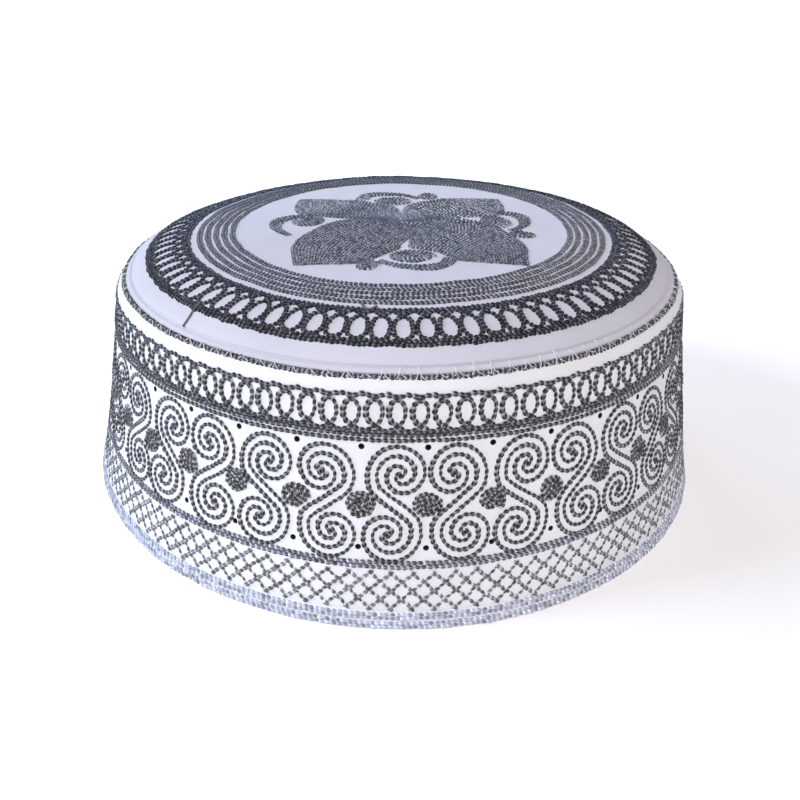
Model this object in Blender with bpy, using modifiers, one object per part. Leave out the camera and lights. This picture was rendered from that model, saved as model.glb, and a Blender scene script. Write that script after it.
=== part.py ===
"""Kufi: a stiff pillbox cap of stitched cotton, with a flat crown, a rolled seam, a pierced side band and a hem.

The cap stands on its hem, +Z up, with the origin at the middle of the hem on the floor. -Y is its front.
Every piece is a turned wall. One lattice then leans the crown a little, as the soft cap stands.
"""

import math

import bmesh
import bpy
from mathutils import Matrix, Vector

# Driving dimensions, in metres
HEM_RADIUS = 0.0950
BAND_TOP_RADIUS = 0.0833
BAND_TOP_HEIGHT = 0.0578
BAND_DRAW_IN = 0.0005
SEAM_RADIUS = 0.0808
SEAM_HEIGHT = 0.0615
CROWN_HEIGHT = 0.0703
CROWN_ROLL_POWER = 7.5
CLOTH = 0.0020
HEM_STRIP_HEIGHT = 0.0045
HEM_PROUD = 0.0003
HEM_EDGE_ROUND = 0.0006
HEM_INNER_ROUND = 0.0003
PIECE_GAP = 0.0003

# Pattern of eyelets: two rows, with one of each between two scrolls of the embroidery
SCROLL_COUNT = 36
FIRST_EYELET_ANGLE = math.radians(4.93)
EYELET_RADIUS = 0.0007
EYELET_HEIGHTS = (0.0457, 0.0212)
EYELET_SIDES = 8
EYELET_PEG_LENGTH = 0.0050

# How the soft cap stands: the crown is higher at its +X side by this slope
CROWN_LEAN = 0.020

# How finely the round walls are made
ROUND_STEPS = 72
CROWN_STEPS = 10
CROWN_STEP_CROWDING = 0.45
SHOULDER_STEPS = 3
BAND_STEPS = 6
HEM_STEPS = 2
MERGE_DISTANCE = 0.00002
SMOOTH_ANGLE = math.radians(30.0)

# Colour, roughness and metallic value of each piece
FINISHES = {
    "crown": ((0.68, 0.67, 0.74, 1.0), 0.85, 0.0),
    "seam_welt": ((0.60, 0.60, 0.66, 1.0), 0.85, 0.0),
    "side_band": ((0.84, 0.85, 0.87, 1.0), 0.80, 0.0),
    "hem_binding": ((0.70, 0.73, 0.80, 1.0), 0.80, 0.0),
}


def clear_scene():
    """Remove what the new file holds."""
    for obj in list(bpy.data.objects):
        bpy.data.objects.remove(obj)


def new_collection(name):
    """Make a collection in the scene."""
    collection = bpy.data.collections.new(name)
    bpy.context.scene.collection.children.link(collection)
    return collection


def cloth_material(name):
    """Make the plain material of one piece."""
    colour, roughness, metallic = FINISHES[name]
    material = bpy.data.materials.new(name)
    material.use_nodes = True
    shader = material.node_tree.nodes["Principled BSDF"]
    shader.inputs["Base Color"].default_value = colour
    shader.inputs["Roughness"].default_value = roughness
    shader.inputs["Metallic"].default_value = metallic
    return material


def crown_height(radius):
    """Height of the crown's outer face: flat in the middle, rolling down ever faster to the seam."""
    drop = CROWN_HEIGHT - SEAM_HEIGHT
    return CROWN_HEIGHT - drop * (radius / SEAM_RADIUS) ** CROWN_ROLL_POWER


def crown_slope(radius):
    """Fall of the crown's outer face for each metre outwards, as a negative number."""
    drop = CROWN_HEIGHT - SEAM_HEIGHT
    return -drop * CROWN_ROLL_POWER * (radius / SEAM_RADIUS) ** (CROWN_ROLL_POWER - 1.0) / SEAM_RADIUS


def band_radius(height):
    """Radius of the side band's outer face: a flared wall, drawn in a little at its middle."""
    part_up = height / BAND_TOP_HEIGHT
    flare = HEM_RADIUS - BAND_TOP_RADIUS
    return HEM_RADIUS - flare * part_up - 4.0 * BAND_DRAW_IN * part_up * (1.0 - part_up)


def band_slope(height):
    """Change of the side band's radius for each metre upwards, as a negative number."""
    part_up = height / BAND_TOP_HEIGHT
    flare = HEM_RADIUS - BAND_TOP_RADIUS
    return -(flare + 4.0 * BAND_DRAW_IN * (1.0 - 2.0 * part_up)) / BAND_TOP_HEIGHT


def inside(point, tangent, thickness=CLOTH):
    """The point of the inner face behind an outer (radius, height) point, whose tangent runs down the wall."""
    run = Vector(tangent).normalized()
    return (point[0] + run[1] * thickness, point[1] - run[0] * thickness)


def walled(outer, tangents, thickness=CLOTH):
    """Outline of a wall: down its outer face, then back up its inner one."""
    inner = [inside(point, tangent, thickness) for point, tangent in zip(outer, tangents)]
    return outer + inner[::-1]


def crown_outline():
    """Section of the crown, from its centre to the gap at the seam."""
    edge = SEAM_RADIUS - PIECE_GAP
    steps = [step / CROWN_STEPS for step in range(CROWN_STEPS + 1)]
    radii = [edge * share ** CROWN_STEP_CROWDING for share in steps]
    outer = [(radius, crown_height(radius)) for radius in radii]
    tangents = [(1.0, crown_slope(radius)) for radius in radii]
    return walled(outer, tangents)


def shoulder_point(share):
    """Point and tangent of the rolled seam, a quadratic curve that joins the crown to the side band."""
    start = Vector((SEAM_RADIUS, SEAM_HEIGHT))
    end = Vector((BAND_TOP_RADIUS, BAND_TOP_HEIGHT))
    leaving = Vector((1.0, crown_slope(SEAM_RADIUS)))
    arriving = Vector((-band_slope(BAND_TOP_HEIGHT), -1.0))
    span = end - start
    turn = leaving.x * arriving.y - leaving.y * arriving.x
    reach = (span.x * arriving.y - span.y * arriving.x) / turn
    corner = start + leaving * reach
    point = start * (1.0 - share) ** 2 + corner * 2.0 * share * (1.0 - share) + end * share ** 2
    tangent = (corner - start) * (1.0 - share) + (end - corner) * share
    return tuple(point), tuple(tangent)


def welt_outline():
    """Section of the rolled seam."""
    stations = [shoulder_point(step / SHOULDER_STEPS) for step in range(SHOULDER_STEPS + 1)]
    return walled([point for point, tangent in stations], [tangent for point, tangent in stations])


def band_outline():
    """Section of the side band, from the gap under the seam to the gap above the hem."""
    top = BAND_TOP_HEIGHT - PIECE_GAP
    bottom = HEM_STRIP_HEIGHT + PIECE_GAP
    heights = [top + (bottom - top) * step / BAND_STEPS for step in range(BAND_STEPS + 1)]
    outer = [(band_radius(height), height) for height in heights]
    tangents = [(-band_slope(height), -1.0) for height in heights]
    return walled(outer, tangents)


def hem_outline():
    """Section of the hem: a strip a little prouder than the band, with a flat underside on the floor."""
    heights = [HEM_STRIP_HEIGHT + (HEM_EDGE_ROUND - HEM_STRIP_HEIGHT) * step / HEM_STEPS
               for step in range(HEM_STEPS + 1)]
    outer = []
    for height in heights:
        proud = HEM_PROUD * height / HEM_STRIP_HEIGHT
        outer.append((band_radius(height) + proud, height))
    tangents = [(-band_slope(height), -1.0) for height in heights]
    thickness = CLOTH + 2.0 * HEM_PROUD
    inner = [inside(point, tangent, thickness) for point, tangent in zip(outer, tangents)]
    sole_outer = (HEM_RADIUS - HEM_EDGE_ROUND, 0.0)
    sole_inner = (inner[-1][0] + HEM_INNER_ROUND, 0.0)
    return outer + [sole_outer, sole_inner] + inner[::-1]


def turned_mesh(name, outline, at_axis):
    """Turn a closed (radius, height) outline about Z. One that ends on the axis needs no closing edge."""
    profile = bpy.data.meshes.new(name + "_outline")
    shape = bmesh.new()
    corners = [shape.verts.new((radius, 0.0, height)) for radius, height in outline]
    for first, second in zip(corners, corners[1:]):
        shape.edges.new((first, second))
    if not at_axis:
        shape.edges.new((corners[-1], corners[0]))
    shape.to_mesh(profile)
    shape.free()

    holder = bpy.data.objects.new(name + "_outline", profile)
    bpy.context.scene.collection.objects.link(holder)
    screw = holder.modifiers.new("turn", "SCREW")
    screw.steps = ROUND_STEPS
    screw.render_steps = ROUND_STEPS
    screw.use_merge_vertices = True
    screw.merge_threshold = MERGE_DISTANCE
    evaluated = holder.evaluated_get(bpy.context.evaluated_depsgraph_get())
    mesh = bpy.data.meshes.new_from_object(evaluated)
    bpy.data.objects.remove(holder)
    bpy.data.meshes.remove(profile)
    mesh.name = name
    mesh.shade_smooth()
    mesh.set_sharp_from_angle(angle=SMOOTH_ANGLE)
    return mesh


def turned_piece(name, outline, collection, at_axis=False):
    """One named piece of the cap, turned so that its facets meet midway between two eyelets."""
    mesh = turned_mesh(name, outline, at_axis)
    half_facet = math.pi / ROUND_STEPS
    mesh.transform(Matrix.Rotation(FIRST_EYELET_ANGLE - half_facet, 4, "Z"))
    mesh.materials.append(cloth_material(name))
    piece = bpy.data.objects.new(name, mesh)
    collection.objects.link(piece)
    return piece


def eyelet_cutters(collection):
    """Two rows of small pegs through the side band, square to its wall."""
    mesh = bpy.data.meshes.new("eyelet_cutters")
    shape = bmesh.new()
    for height in EYELET_HEIGHTS:
        for index in range(SCROLL_COUNT):
            angle = FIRST_EYELET_ANGLE + index * math.tau / SCROLL_COUNT
            outward = Vector((math.sin(angle), -math.cos(angle), -band_slope(height))).normalized()
            face = Vector((math.sin(angle), -math.cos(angle), 0.0)) * band_radius(height)
            middle = face + Vector((0.0, 0.0, height)) - outward * CLOTH / 2.0
            facing = outward.to_track_quat("Z", "Y").to_matrix().to_4x4()
            bmesh.ops.create_cone(
                shape, cap_ends=True, segments=EYELET_SIDES, radius1=EYELET_RADIUS, radius2=EYELET_RADIUS,
                depth=EYELET_PEG_LENGTH, matrix=Matrix.Translation(middle) @ facing)
    shape.to_mesh(mesh)
    shape.free()
    cutters = bpy.data.objects.new("eyelet_cutters", mesh)
    cutters.display_type = "WIRE"
    cutters.hide_render = True
    collection.objects.link(cutters)
    return cutters


def leaning_lattice(collection):
    """A box of two layers whose top is tilted, so that the hem stays flat and the crown leans."""
    data = bpy.data.lattices.new("crown_lean")
    data.points_u = 2
    data.points_v = 2
    data.points_w = 2
    data.interpolation_type_u = "KEY_LINEAR"
    data.interpolation_type_v = "KEY_LINEAR"
    data.interpolation_type_w = "KEY_LINEAR"
    width = 2.0 * HEM_RADIUS
    lattice = bpy.data.objects.new("crown_lean", data)
    lattice.scale = (width, width, CROWN_HEIGHT)
    lattice.location = (0.0, 0.0, CROWN_HEIGHT / 2.0)
    lattice.hide_render = True
    collection.objects.link(lattice)
    for point in data.points:
        if point.co.z > 0.0:
            point.co_deform.z += CROWN_LEAN * point.co.x * width / CROWN_HEIGHT
    return lattice


def build():
    """Make the four pieces, pierce the band and lean the crown."""
    clear_scene()
    cap = new_collection("kufi")
    helpers = new_collection("helpers")

    crown = turned_piece("crown", crown_outline(), cap, at_axis=True)
    welt = turned_piece("seam_welt", welt_outline(), cap)
    band = turned_piece("side_band", band_outline(), cap)
    hem = turned_piece("hem_binding", hem_outline(), cap)

    piercing = band.modifiers.new("eyelets", "BOOLEAN")
    piercing.operation = "DIFFERENCE"
    piercing.solver = "EXACT"
    piercing.object = eyelet_cutters(helpers)

    lattice = leaning_lattice(helpers)
    for piece in (crown, welt, band, hem):
        lean = piece.modifiers.new("lean", "LATTICE")
        lean.object = lattice


build()
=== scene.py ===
# Kufi: a stiff white cotton cap with grey chain stitch embroidery, standing on its hem.
# Pattern sizes are in millimetres. Angles are in degrees, counted from the front of the cap.
import math
import random

import bmesh
import bpy
from mathutils import Matrix, Vector, noise


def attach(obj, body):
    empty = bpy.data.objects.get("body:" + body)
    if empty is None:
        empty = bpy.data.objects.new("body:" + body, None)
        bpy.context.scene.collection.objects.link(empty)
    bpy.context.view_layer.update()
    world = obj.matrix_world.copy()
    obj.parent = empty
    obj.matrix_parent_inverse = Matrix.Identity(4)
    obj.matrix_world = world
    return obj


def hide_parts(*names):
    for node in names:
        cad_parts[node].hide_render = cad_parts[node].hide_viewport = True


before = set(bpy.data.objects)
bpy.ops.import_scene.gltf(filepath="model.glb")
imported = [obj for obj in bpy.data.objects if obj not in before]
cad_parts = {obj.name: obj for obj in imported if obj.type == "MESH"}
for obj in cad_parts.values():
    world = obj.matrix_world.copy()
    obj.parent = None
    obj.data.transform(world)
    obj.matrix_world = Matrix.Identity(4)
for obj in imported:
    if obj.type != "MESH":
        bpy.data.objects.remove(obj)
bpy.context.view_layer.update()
mm = 0.001
noise.seed_set(5)    # without it, noise vectors change from run to run
print("frame loaded:", ", ".join(sorted(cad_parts)))

# The cap's shape, the same as its packed walls
capShape = {
    "hemRadius": 95.0,
    "bandTopRadius": 83.3,
    "bandTopHeight": 57.8,
    "bandDrawIn": 0.5,
    "seamRadius": 80.8,
    "seamHeight": 61.5,
    "crownHeight": 70.3,
    "rollPower": 7.5,       # how late the crown rolls down to its seam
    "lean": 0.020,          # the crown is higher on one side
    "clothThickness": 2.0,
    "chartRadius": 89.0,    # a millimetre across the band's pattern is measured at this radius
}

# Small unevenness that the stitches pull into the cloth
clothRelief = {
    "puckerSize": 5.5,
    "puckerDepth": 0.16,
    "bulgeSize": 38.0,
    "bulgeDepth": 0.45,
    "bulgeShift": (7.0, 3.0, 5.0),
}


def pucker(point):
    fine = noise.noise(point / clothRelief["puckerSize"])
    broad = noise.noise(point / clothRelief["bulgeSize"] + Vector(clothRelief["bulgeShift"]))
    return fine * clothRelief["puckerDepth"] + broad * clothRelief["bulgeDepth"]


def leaned(point):
    rise = capShape["lean"] * point.x / capShape["crownHeight"]
    return Vector((point.x, point.y, point.z * (1 + rise)))


# A place on the cloth, so far proud of it, and the way that the cloth faces there
def settled(point, facing, proud):
    return leaned(point + facing * (proud + pucker(point))), facing


def bandRadius(height):
    share = height / capShape["bandTopHeight"]
    flare = (capShape["hemRadius"] - capShape["bandTopRadius"]) * share
    return capShape["hemRadius"] - flare - 4 * capShape["bandDrawIn"] * share * (1 - share)


def bandSlope(height):
    share = height / capShape["bandTopHeight"]
    flare = capShape["hemRadius"] - capShape["bandTopRadius"]
    return (flare + 4 * capShape["bandDrawIn"] * (1 - 2 * share)) / capShape["bandTopHeight"]


def crownHeight(radius):
    drop = capShape["crownHeight"] - capShape["seamHeight"]
    return capShape["crownHeight"] - drop * (radius / capShape["seamRadius"]) ** capShape["rollPower"]


def crownSlope(radius):
    drop = capShape["crownHeight"] - capShape["seamHeight"]
    power = capShape["rollPower"]
    return drop * power / capShape["seamRadius"] * (radius / capShape["seamRadius"]) ** (power - 1)


def around(angle, radius, height):
    turn = math.radians(angle)
    return Vector((radius * math.sin(turn), -radius * math.cos(turn), height))


def onBand(angle, height, proud=0.0):
    facing = around(angle, 1.0, bandSlope(height)).normalized()
    return settled(around(angle, bandRadius(height), height), facing, proud)


def onCrown(angle, radius, proud=0.0):
    facing = around(angle, crownSlope(radius), 1.0).normalized()
    return settled(around(angle, radius, crownHeight(radius)), facing, proud)


# The shoulder bends from the crown's slope at the seam, share 0, to the band's slope at its top, share 1
def shoulderCorner():
    seam, top = capShape["seamRadius"], capShape["bandTopRadius"]
    fall, flare = crownSlope(seam), bandSlope(capShape["bandTopHeight"])
    step = capShape["seamHeight"] - capShape["bandTopHeight"] - fall * (top - seam)
    up = step / (1 - fall * flare)
    return top - flare * up, capShape["bandTopHeight"] + up


def onShoulder(angle, share, proud=0.0):
    cornerRadius, cornerHeight = shoulderCorner()
    stops = (
        (capShape["seamRadius"], capShape["seamHeight"]),
        (cornerRadius, cornerHeight),
        (capShape["bandTopRadius"], capShape["bandTopHeight"]),
    )
    weights = ((1 - share) ** 2, 2 * share * (1 - share), share ** 2)
    radius = sum(weight * stop[0] for weight, stop in zip(weights, stops))
    height = sum(weight * stop[1] for weight, stop in zip(weights, stops))
    along = [(1 - share) * (stops[1][k] - stops[0][k]) + share * (stops[2][k] - stops[1][k]) for k in (0, 1)]
    facing = around(angle, -along[1], along[0]).normalized()
    return settled(around(angle, radius, height), facing, proud)


# Points of the patterns: across and up on the band, from its front, and x and y on the crown
def bandPoint(across, height, proud):
    return onBand(math.degrees(across / capShape["chartRadius"]), height, proud)


def crownPoint(x, y, proud):
    return onCrown(math.degrees(math.atan2(x, -y)), math.hypot(x, y), proud)


# Node trees are built with these. A node's input is given as a value, or as the output that feeds it.
def feed(tree, node, inputs):
    for name, value in inputs.items():
        if isinstance(value, bpy.types.NodeSocket):
            tree.links.new(value, node.inputs[name])
        else:
            node.inputs[name].default_value = value


def addNode(tree, kind, inputs=None, **values):
    node = tree.nodes.new(kind)
    for name, value in values.items():
        setattr(node, name, value)
    feed(tree, node, inputs or {})
    return node


# What a new node gives: its first output in use, or the one that is named
def flow(tree, kind, inputs=None, output=None, **values):
    outputs = addNode(tree, kind, inputs, **values).outputs
    return outputs[output] if output else next(socket for socket in outputs if socket.enabled)


def calculate(tree, operation, *numbers):
    return flow(tree, "ShaderNodeMath", dict(enumerate(numbers)), operation=operation)


def scaled(tree, vector, amount):
    return flow(tree, "ShaderNodeVectorMath", {0: vector, "Scale": amount}, operation="SCALE")


def mixed(tree, share, first, second):
    return flow(tree, "ShaderNodeMix", {"Factor": share, "A": first, "B": second}, data_type="RGBA")


def shareBetween(tree, value, limits, way="LINEAR"):
    inputs = {"Value": value, "From Min": limits[0], "From Max": limits[1]}
    return flow(tree, "ShaderNodeMapRange", inputs, interpolation_type=way)


def noiseOf(tree, place, name, settings, output="Fac"):
    inputs = {"Vector": place, "Scale": settings[name + "Scale"], "Detail": settings[name + "Detail"]}
    return flow(tree, "ShaderNodeTexNoise", inputs, output)


# A new group comes with the outputs of its input node, and with its output node
def newTree(name, kind, inputs, outputs):
    tree = bpy.data.node_groups.new(name, kind)
    for direction, sockets in (("INPUT", inputs), ("OUTPUT", outputs)):
        for label, socketKind, *value in sockets:
            kind = "NodeSocket" + socketKind
            socket = tree.interface.new_socket(label, in_out=direction, socket_type=kind)
            if value:
                socket.default_value = value[0]
    return tree, addNode(tree, "NodeGroupInput").outputs, addNode(tree, "NodeGroupOutput")


# Weave: threads over and under each other, with slubs and a faint unevenness of tone
weaveLook = {
    "threadSpacing": 0.5,
    "weaveHeight": 0.35,            # beside the slubs
    "slubScale": 420.0,
    "slubDetail": 3.0,
    "cloudScale": 38.0,
    "cloudDetail": 4.0,
    "cloudLimits": (0.35, 0.75),
    "roughness": 0.80,
    "slubRoughness": 0.10,
    "strayScale": 260.0,            # the threads stray from straight lines
    "strayDetail": 2.0,
    "stray": 1.2,
}


def makeWeaveGroup():
    look = weaveLook
    tree, given, end = newTree("clothWeave", "ShaderNodeTree", [
        ("Across", "Float", 0.0),
        ("Along", "Float", 0.0),
        ("Place", "Vector"),
        ("Thread Spacing", "Float", 0.00055),
        ("Cloth Colour", "Color", (0.8, 0.8, 0.8, 1.0)),
        ("Shade Colour", "Color", (0.7, 0.7, 0.7, 1.0)),
    ], [("Colour", "Color"), ("Height", "Float"), ("Roughness", "Float")])
    waves = []
    for name in ("Across", "Along"):
        count = calculate(tree, "DIVIDE", given[name], given["Thread Spacing"])
        waves.append(calculate(tree, "SINE", calculate(tree, "MULTIPLY", count, math.pi)))
    slubs = noiseOf(tree, given["Place"], "slub", look)
    shaded = shareBetween(tree, noiseOf(tree, given["Place"], "cloud", look), look["cloudLimits"])
    overUnder = calculate(tree, "MULTIPLY", *waves)
    feed(tree, end, {
        "Colour": mixed(tree, shaded, given["Cloth Colour"], given["Shade Colour"]),
        "Height": calculate(tree, "MULTIPLY_ADD", overUnder, look["weaveHeight"], slubs),
        "Roughness": calculate(tree, "MULTIPLY_ADD", slubs, look["slubRoughness"], look["roughness"]),
    })
    return tree


# Thread: its own dark grey, painted near-black on the strands as painted shade in the hollow of each loop
# and lighter in the neck of each loop as a painted highlight, with its own tone for each stitch
threadLook = {
    "surface": {"Roughness": 0.5, "Specular IOR Level": 0.15, "Sheen Weight": 0.10,
                "Sheen Roughness": 0.35, "Sheen Tint": (0.80, 0.88, 1.0, 1.0)},
    "neckLimits": (0.10, 0.90),     # of the shade, where strand turns to neck
    "middleTone": 0.5,
    "fibreScale": 5200.0,
    "fibreDetail": 1.0,
    "bump": 0.5,
    "relief": 0.04,
}


def makeThreadGroup():
    tree, given, end = newTree("threadTone", "ShaderNodeTree", [
        ("Strand Colour", "Color", (0.02, 0.02, 0.02, 1.0)),
        ("Neck Colour", "Color", (0.2, 0.2, 0.2, 1.0)),
        ("Tone Spread", "Float", 0.3),
    ], [("Colour", "Color"), ("Height", "Float")])
    shade, tone = (flow(tree, "ShaderNodeAttribute", None, "Fac", attribute_name=name)
                   for name in ("shade", "tone"))
    neck = shareBetween(tree, shade, threadLook["neckLimits"])
    body = mixed(tree, neck, given["Strand Colour"], given["Neck Colour"])
    middled = calculate(tree, "SUBTRACT", tone, threadLook["middleTone"])
    change = calculate(tree, "MULTIPLY_ADD", middled, given["Tone Spread"], 1.0)
    place = flow(tree, "ShaderNodeTexCoord", None, "Object")
    fibres = noiseOf(tree, place, "fibre", threadLook)
    feed(tree, end, {"Colour": scaled(tree, body, change), "Height": fibres})
    return tree


weaveGroup = makeWeaveGroup()
threadGroup = makeThreadGroup()


def newMaterial(name, surfaceInputs):
    material = bpy.data.materials.new(name)
    material.use_nodes = True
    tree = material.node_tree
    tree.nodes.clear()
    surface = addNode(tree, "ShaderNodeBsdfPrincipled", surfaceInputs)
    addNode(tree, "ShaderNodeOutputMaterial", {"Surface": surface.outputs["BSDF"]})
    return material, tree, surface


def addBump(tree, surface, height, settings):
    inputs = {"Height": height, "Strength": settings["bump"], "Distance": settings["relief"] * mm}
    feed(tree, surface, {"Normal": flow(tree, "ShaderNodeBump", inputs)})


# Cloth: the weave runs round the cap and up it, or along x and y where no threads go around
def makeCloth(settings):
    material, tree, surface = newMaterial(settings["name"], {"Sheen Weight": settings["sheen"]})
    place = flow(tree, "ShaderNodeTexCoord", None, "Object")
    stray = noiseOf(tree, place, "stray", weaveLook, "Color")
    inputs = {0: stray, 1: (weaveLook["stray"] * mm,) * 3, 2: place}
    shifted = flow(tree, "ShaderNodeVectorMath", inputs, operation="MULTIPLY_ADD")
    parts = addNode(tree, "ShaderNodeSeparateXYZ", {0: shifted}).outputs
    across, along = parts["X"], parts["Y"]
    if settings["threadsAround"]:
        threadRun = settings["threadsAround"] * weaveLook["threadSpacing"] * mm / math.tau
        turn = calculate(tree, "ARCTAN2", parts["X"], parts["Y"])
        across, along = calculate(tree, "MULTIPLY", turn, threadRun), parts["Z"]
    weave = addNode(tree, "ShaderNodeGroup", {
        "Across": across,
        "Along": along,
        "Place": place,
        "Thread Spacing": weaveLook["threadSpacing"] * mm,
        "Cloth Colour": (*settings["colour"], 1.0),
        "Shade Colour": (*settings["shade"], 1.0),
    }, node_tree=weaveGroup).outputs
    feed(tree, surface, {"Base Color": weave["Colour"], "Roughness": weave["Roughness"]})
    addBump(tree, surface, weave["Height"], settings)
    return material


def makeThread(name, settings):
    material, tree, surface = newMaterial(name, threadLook["surface"])
    tone = addNode(tree, "ShaderNodeGroup", {
        "Strand Colour": (*settings["strand"], 1.0),
        "Neck Colour": (*settings["neck"], 1.0),
        "Tone Spread": settings["toneSpread"],
    }, node_tree=threadGroup).outputs
    feed(tree, surface, {"Base Color": tone["Colour"]})
    addBump(tree, surface, tone["Height"], threadLook)
    return material


clothLooks = {
    # The crown is the band's white cotton painted a darker, bluer grey: painted shade on the cap's top,
    # which takes less light than the band's front
    "crown": {"name": "crownCotton", "colour": (0.535, 0.530, 0.590), "shade": (0.505, 0.50, 0.562),
              "sheen": 0.05, "threadsAround": 0, "bump": 0.22, "relief": 0.08},
    "seam": {"name": "seamCotton", "colour": (0.72, 0.72, 0.75), "shade": (0.68, 0.68, 0.72),
             "sheen": 0.05, "threadsAround": 1030, "bump": 0.22, "relief": 0.08},
    "band": {"name": "bandCotton", "colour": (0.76, 0.77, 0.79), "shade": (0.71, 0.72, 0.75),
             "sheen": 0.05, "threadsAround": 1118, "bump": 0.22, "relief": 0.08},
    "hem": {"name": "hemTape", "colour": (0.70, 0.72, 0.77), "shade": (0.65, 0.67, 0.74),
            "sheen": 0.10, "threadsAround": 1190, "bump": 0.4, "relief": 0.10},
    # The eyelets' cut edges are the white cotton painted near-black: painted shade inside the holes
    "eyelet": {"name": "eyeletEdge", "colour": (0.02, 0.02, 0.025), "shade": (0.015, 0.015, 0.02),
               "sheen": 0.0, "threadsAround": 1118, "bump": 0.2, "relief": 0.08},
}
clothMaterials = {piece: makeCloth(settings) for piece, settings in clothLooks.items()}
# Strand colours are the threads' own tones deepened with painted shade, and neck colours are lightened with
# a painted highlight
threadColours = {
    "grey": {"strand": (0.008, 0.008, 0.011), "neck": (0.32, 0.32, 0.34), "toneSpread": 0.9},
    "dark": {"strand": (0.004, 0.004, 0.007), "neck": (0.13, 0.13, 0.15), "toneSpread": 1.2},
    "speckled": {"strand": (0.008, 0.008, 0.011), "neck": (0.40, 0.40, 0.41), "toneSpread": 1.2},
    "soft": {"strand": (0.024, 0.024, 0.030), "neck": (0.30, 0.30, 0.33), "toneSpread": 0.9},
    "light": {"strand": (0.080, 0.080, 0.088), "neck": (0.56, 0.56, 0.59), "toneSpread": 1.1},
    "filling": {"strand": (0.040, 0.040, 0.050), "neck": (0.38, 0.38, 0.43), "toneSpread": 1.3},
    "blueGrey": {"strand": (0.056, 0.057, 0.074), "neck": (0.50, 0.51, 0.57), "toneSpread": 1.1},
    "pale": {"strand": (0.30, 0.32, 0.42), "neck": (0.72, 0.74, 0.82), "toneSpread": 0.9},
    "white": {"strand": (0.74, 0.74, 0.75), "neck": (0.76, 0.76, 0.77), "toneSpread": 0.1},
}
threadMaterials = {name: makeThread(name + "Thread", settings) for name, settings in threadColours.items()}
print("materials made:", len(clothMaterials) + len(threadMaterials))


# One chain stitch lies along y, a pitch long: two strands part, and close again in a neck. Its shade is dark
# on the strands, painted shade in the loop, and light at the neck, a painted highlight
chainStitch = {
    "start": (-0.68, 0.04, 1.0),     # along in pitches, up in millimetres, shade
    "end": (0.66, 0.09, 1.0),
    "sections": [
        {"along": -0.46, "base": (0.50, 0.92), "strand": (0.27, 0.25, 0.88), "gap": (0.17, 0.92)},
        {"along": -0.15, "base": (0.62, 0.46), "strand": (0.40, 0.40, 0.00), "gap": (0.17, 0.42)},
        {"along": 0.23, "base": (0.58, 0.50), "strand": (0.34, 0.37, 0.00), "gap": (0.21, 0.32)},
    ],
    "slant": 0.16,                   # one strand lies ahead of the other
    "sunk": -0.12,                   # the underside, in the cloth
}


def newObject(name, data):
    item = bpy.data.objects.new(name, data)
    bpy.context.scene.collection.objects.link(item)
    return item


# A mesh with its faces turned outwards, where points closer than the weld become one
def closedMesh(name, points, faces, weld=0.001):
    mesh = bpy.data.meshes.new(name)
    mesh.from_pydata([point * mm for point in points], [], faces)
    shape = bmesh.new()
    shape.from_mesh(mesh)
    bmesh.ops.remove_doubles(shape, verts=shape.verts, dist=weld * mm)
    bmesh.ops.recalc_face_normals(shape, faces=shape.faces)
    shape.to_mesh(mesh)
    shape.free()
    return mesh


def makeStitch(settings):
    points, tones = [], []
    for along, up, shade in (settings["start"], settings["end"]):
        points.append(Vector((0.0, along, up)))
        tones.append(shade)
    for section in settings["sections"]:
        baseSide, baseShade = section["base"]
        strandSide, strandUp, strandShade = section["strand"]
        gapUp, gapShade = section["gap"]
        across = [
            (-baseSide, settings["sunk"], baseShade),
            (-strandSide, strandUp, strandShade),
            (0.0, gapUp, gapShade),
            (strandSide, strandUp, strandShade),
            (baseSide, settings["sunk"], baseShade),
        ]
        for side, up, shade in across:
            points.append(Vector((side, section["along"] + settings["slant"] * side, up)))
            tones.append(shade)
    sides = len(across)
    last = len(points) - sides
    faces = []
    for k in range(sides):
        after = (k + 1) % sides
        faces.append((0, 2 + after, 2 + k))
        faces.append((1, last + k, last + after))
        for row in range(2, last, sides):
            faces.append((row + k, row + after, row + sides + after, row + sides + k))
    mesh = closedMesh("chainStitch", points, faces)
    mesh.attributes.new("shade", "FLOAT", "POINT").data.foreach_set("value", tones)
    return newObject("chainStitch", mesh)


def named(tree, name, dataType):
    return flow(tree, "GeometryNodeInputNamedAttribute", {"Name": name}, data_type=dataType)


def stored(tree, shape, name, value, domain):
    inputs = {"Geometry": shape, "Name": name, "Value": value}
    return flow(tree, "GeometryNodeStoreNamedAttribute", inputs, data_type="FLOAT", domain=domain)


# The turn that stands a copy out of the cloth
def standing(tree):
    inputs = {"Vector": named(tree, "facing", "FLOAT_VECTOR")}
    return flow(tree, "FunctionNodeAlignRotationToVector", inputs, axis="Z", pivot_axis="AUTO")


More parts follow.
